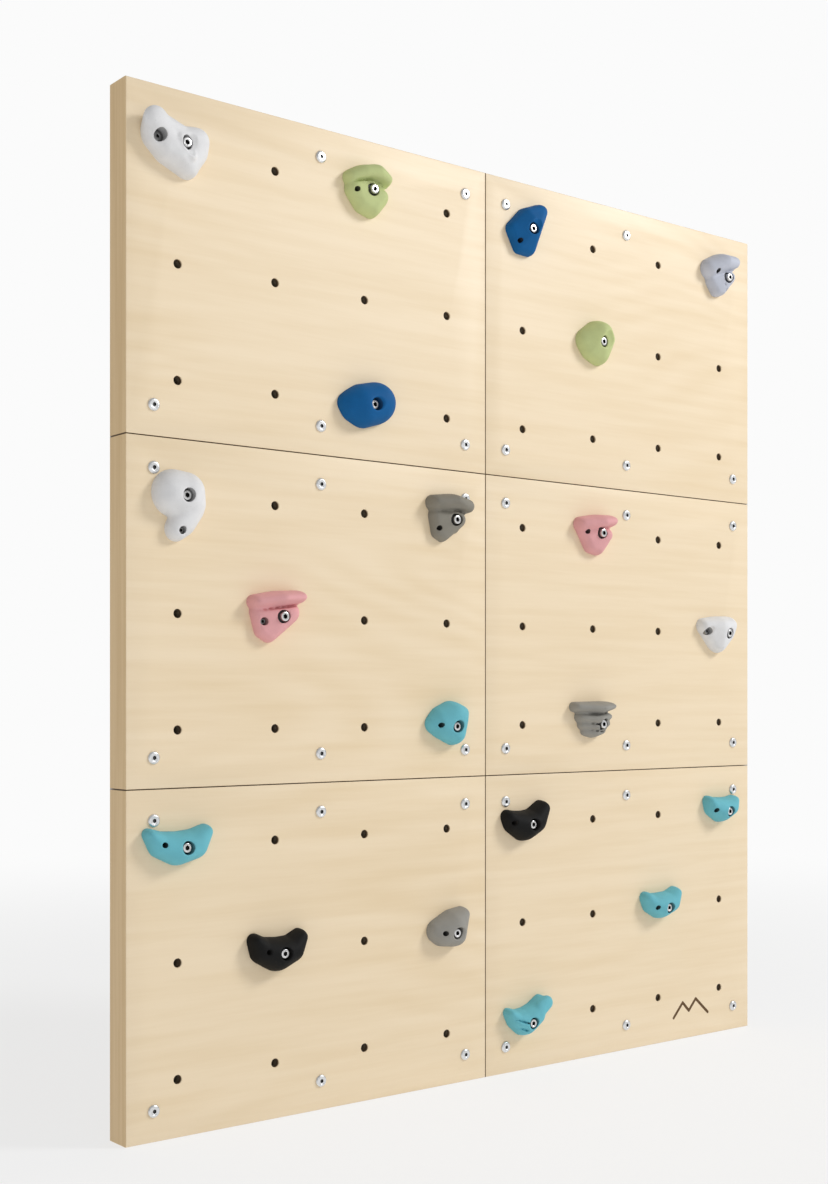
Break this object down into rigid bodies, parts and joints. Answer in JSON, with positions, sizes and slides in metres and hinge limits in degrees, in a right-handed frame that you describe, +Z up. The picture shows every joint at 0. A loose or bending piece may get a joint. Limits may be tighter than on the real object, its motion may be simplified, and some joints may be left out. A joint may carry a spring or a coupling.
{
  "type": "rock climbing wall",
  "caption": "Wall-mounted climbing wall of mitred birch plywood panels with a grid of threaded inserts, moulded bolt-on holds and wall-fixing bolts.",
  "frame": {"origin": "on the back plane that rests on the wall, at the middle of the bottom edge", "axes": "+X to the climber's right when facing the wall, +Y back into the wall, +Z up"},
  "size_m": [1.1994, 0.1277, 1.3494],
  "materials": {
    "birch_face": "clear matt varnish on fine birch veneer",
    "birch_edge": "clear matt varnish on birch",
    "pine_rail": "planed and unvarnished",
    "insert_steel": "zinc plated",
    "fixing_steel": "bright nickel plated",
    "bolt_steel": "zinc plated",
    "hold_white": "fine sandy texture",
    "hold_green": "fine sandy texture",
    "hold_blue": "fine sandy texture",
    "hold_light_grey": "fine sandy texture",
    "hold_pink": "fine sandy texture",
    "hold_dark_grey": "fine sandy texture",
    "hold_grey": "fine sandy texture",
    "hold_teal": "fine sandy texture",
    "hold_black": "fine sandy texture"
  },
  "bodies": {
    "root": {"face_board_top_left": "birch_face", "face_board_top_right": "birch_face", "face_board_middle_left": "birch_face", "face_board_middle_right": "birch_face", "face_board_bottom_left": "birch_face", "face_board_bottom_right": "birch_face", "edge_boards_top_left": "birch_edge", "edge_boards_top_right": "birch_edge", "edge_boards_middle_left": "birch_edge", "edge_boards_middle_right": "birch_edge", "edge_boards_bottom_left": "birch_edge", "edge_boards_bottom_right": "birch_edge", "rails_top_left": "pine_rail", "rails_top_right": "pine_rail", "rails_middle_left": "pine_rail", "rails_middle_right": "pine_rail", "rails_bottom_left": "pine_rail", "rails_bottom_right": "pine_rail", "t_nuts_top_left": "insert_steel", "t_nuts_top_right": "insert_steel", "t_nuts_middle_left": "insert_steel", "t_nuts_middle_right": "insert_steel", "t_nuts_bottom_left": "insert_steel", "t_nuts_bottom_right": "insert_steel", "fixing_bolts": "fixing_steel", "hold_bolts": "bolt_steel", "hold_washers": "bolt_steel", "anti_turn_screws": "bolt_steel", "hold_white_saddle": "hold_white", "hold_white_pear": "hold_white", "hold_pink_ledge": "hold_pink", "hold_white_triangle": "hold_white"},
    "green_brow": {"hold_green_brow": "hold_green"},
    "blue_egg": {"hold_blue_egg": "hold_blue"},
    "blue_pebble": {"hold_blue_pebble": "hold_blue"},
    "green_dome": {"hold_green_dome": "hold_green"},
    "light_grey_cap": {"hold_light_grey_cap": "hold_light_grey"},
    "dark_grey_ledge": {"hold_dark_grey_ledge": "hold_dark_grey"},
    "teal_egg": {"hold_teal_egg": "hold_teal"},
    "pink_wedge": {"hold_pink_wedge": "hold_pink"},
    "grey_ribbed_bowl": {"hold_grey_ribbed_bowl": "hold_grey"},
    "teal_crescent_left": {"hold_teal_crescent_left": "hold_teal"},
    "black_crescent_left": {"hold_black_crescent_left": "hold_black"},
    "grey_teardrop": {"hold_grey_teardrop": "hold_grey"},
    "black_crescent_right": {"hold_black_crescent_right": "hold_black"},
    "teal_crescent_edge": {"hold_teal_crescent_edge": "hold_teal"},
    "teal_crescent_low": {"hold_teal_crescent_low": "hold_teal"},
    "teal_ribbed_crescent": {"hold_teal_ribbed_crescent": "hold_teal"}
  },
  "joints": [
    {"name": "turn_green_brow", "type": "hinge", "parent": "root", "child": "green_brow", "pos_m": [-0.225, -0.042, 1.275], "axis": [0, -1, 0], "continuous": true},
    {"name": "turn_blue_egg", "type": "hinge", "parent": "root", "child": "blue_egg", "pos_m": [-0.225, -0.042, 0.975], "axis": [0, -1, 0], "continuous": true},
    {"name": "turn_blue_pebble", "type": "hinge", "parent": "root", "child": "blue_pebble", "pos_m": [0.075, -0.042, 1.275], "axis": [0, -1, 0], "range_deg": [-245, 50]},
    {"name": "turn_green_dome", "type": "hinge", "parent": "root", "child": "green_dome", "pos_m": [0.225, -0.042, 1.125], "axis": [0, -1, 0], "continuous": true},
    {"name": "turn_light_grey_cap", "type": "hinge", "parent": "root", "child": "light_grey_cap", "pos_m": [0.525, -0.042, 1.275], "axis": [0, -1, 0], "range_deg": [-45, 215]},
    {"name": "turn_dark_grey_ledge", "type": "hinge", "parent": "root", "child": "dark_grey_ledge", "pos_m": [-0.075, -0.042, 0.825], "axis": [0, -1, 0], "range_deg": [-55, 240]},
    {"name": "turn_teal_egg", "type": "hinge", "parent": "root", "child": "teal_egg", "pos_m": [-0.075, -0.042, 0.525], "axis": [0, -1, 0], "range_deg": [-65, 265]},
    {"name": "turn_pink_wedge", "type": "hinge", "parent": "root", "child": "pink_wedge", "pos_m": [0.225, -0.042, 0.825], "axis": [0, -1, 0], "continuous": true},
    {"name": "turn_grey_ribbed_bowl", "type": "hinge", "parent": "root", "child": "grey_ribbed_bowl", "pos_m": [0.225, -0.042, 0.525], "axis": [0, -1, 0], "continuous": true},
    {"name": "turn_teal_crescent_left", "type": "hinge", "parent": "root", "child": "teal_crescent_left", "pos_m": [-0.525, -0.042, 0.375], "axis": [0, -1, 0], "range_deg": [0, 80]},
    {"name": "turn_black_crescent_left", "type": "hinge", "parent": "root", "child": "black_crescent_left", "pos_m": [-0.375, -0.042, 0.225], "axis": [0, -1, 0], "continuous": true},
    {"name": "turn_grey_teardrop", "type": "hinge", "parent": "root", "child": "grey_teardrop", "pos_m": [-0.075, -0.042, 0.225], "axis": [0, -1, 0], "continuous": true},
    {"name": "turn_black_crescent_right", "type": "hinge", "parent": "root", "child": "black_crescent_right", "pos_m": [0.075, -0.042, 0.375], "axis": [0, -1, 0], "range_deg": [-5, 75]},
    {"name": "turn_teal_crescent_edge", "type": "hinge", "parent": "root", "child": "teal_crescent_edge", "pos_m": [0.525, -0.042, 0.375], "axis": [0, -1, 0], "range_deg": [-85, 230]},
    {"name": "turn_teal_crescent_low", "type": "hinge", "parent": "root", "child": "teal_crescent_low", "pos_m": [0.375, -0.042, 0.225], "axis": [0, -1, 0], "continuous": true},
    {"name": "turn_teal_ribbed_crescent", "type": "hinge", "parent": "root", "child": "teal_ribbed_crescent", "pos_m": [0.075, -0.042, 0.075], "axis": [0, -1, 0], "range_deg": [-155, 155]}
  ]
}
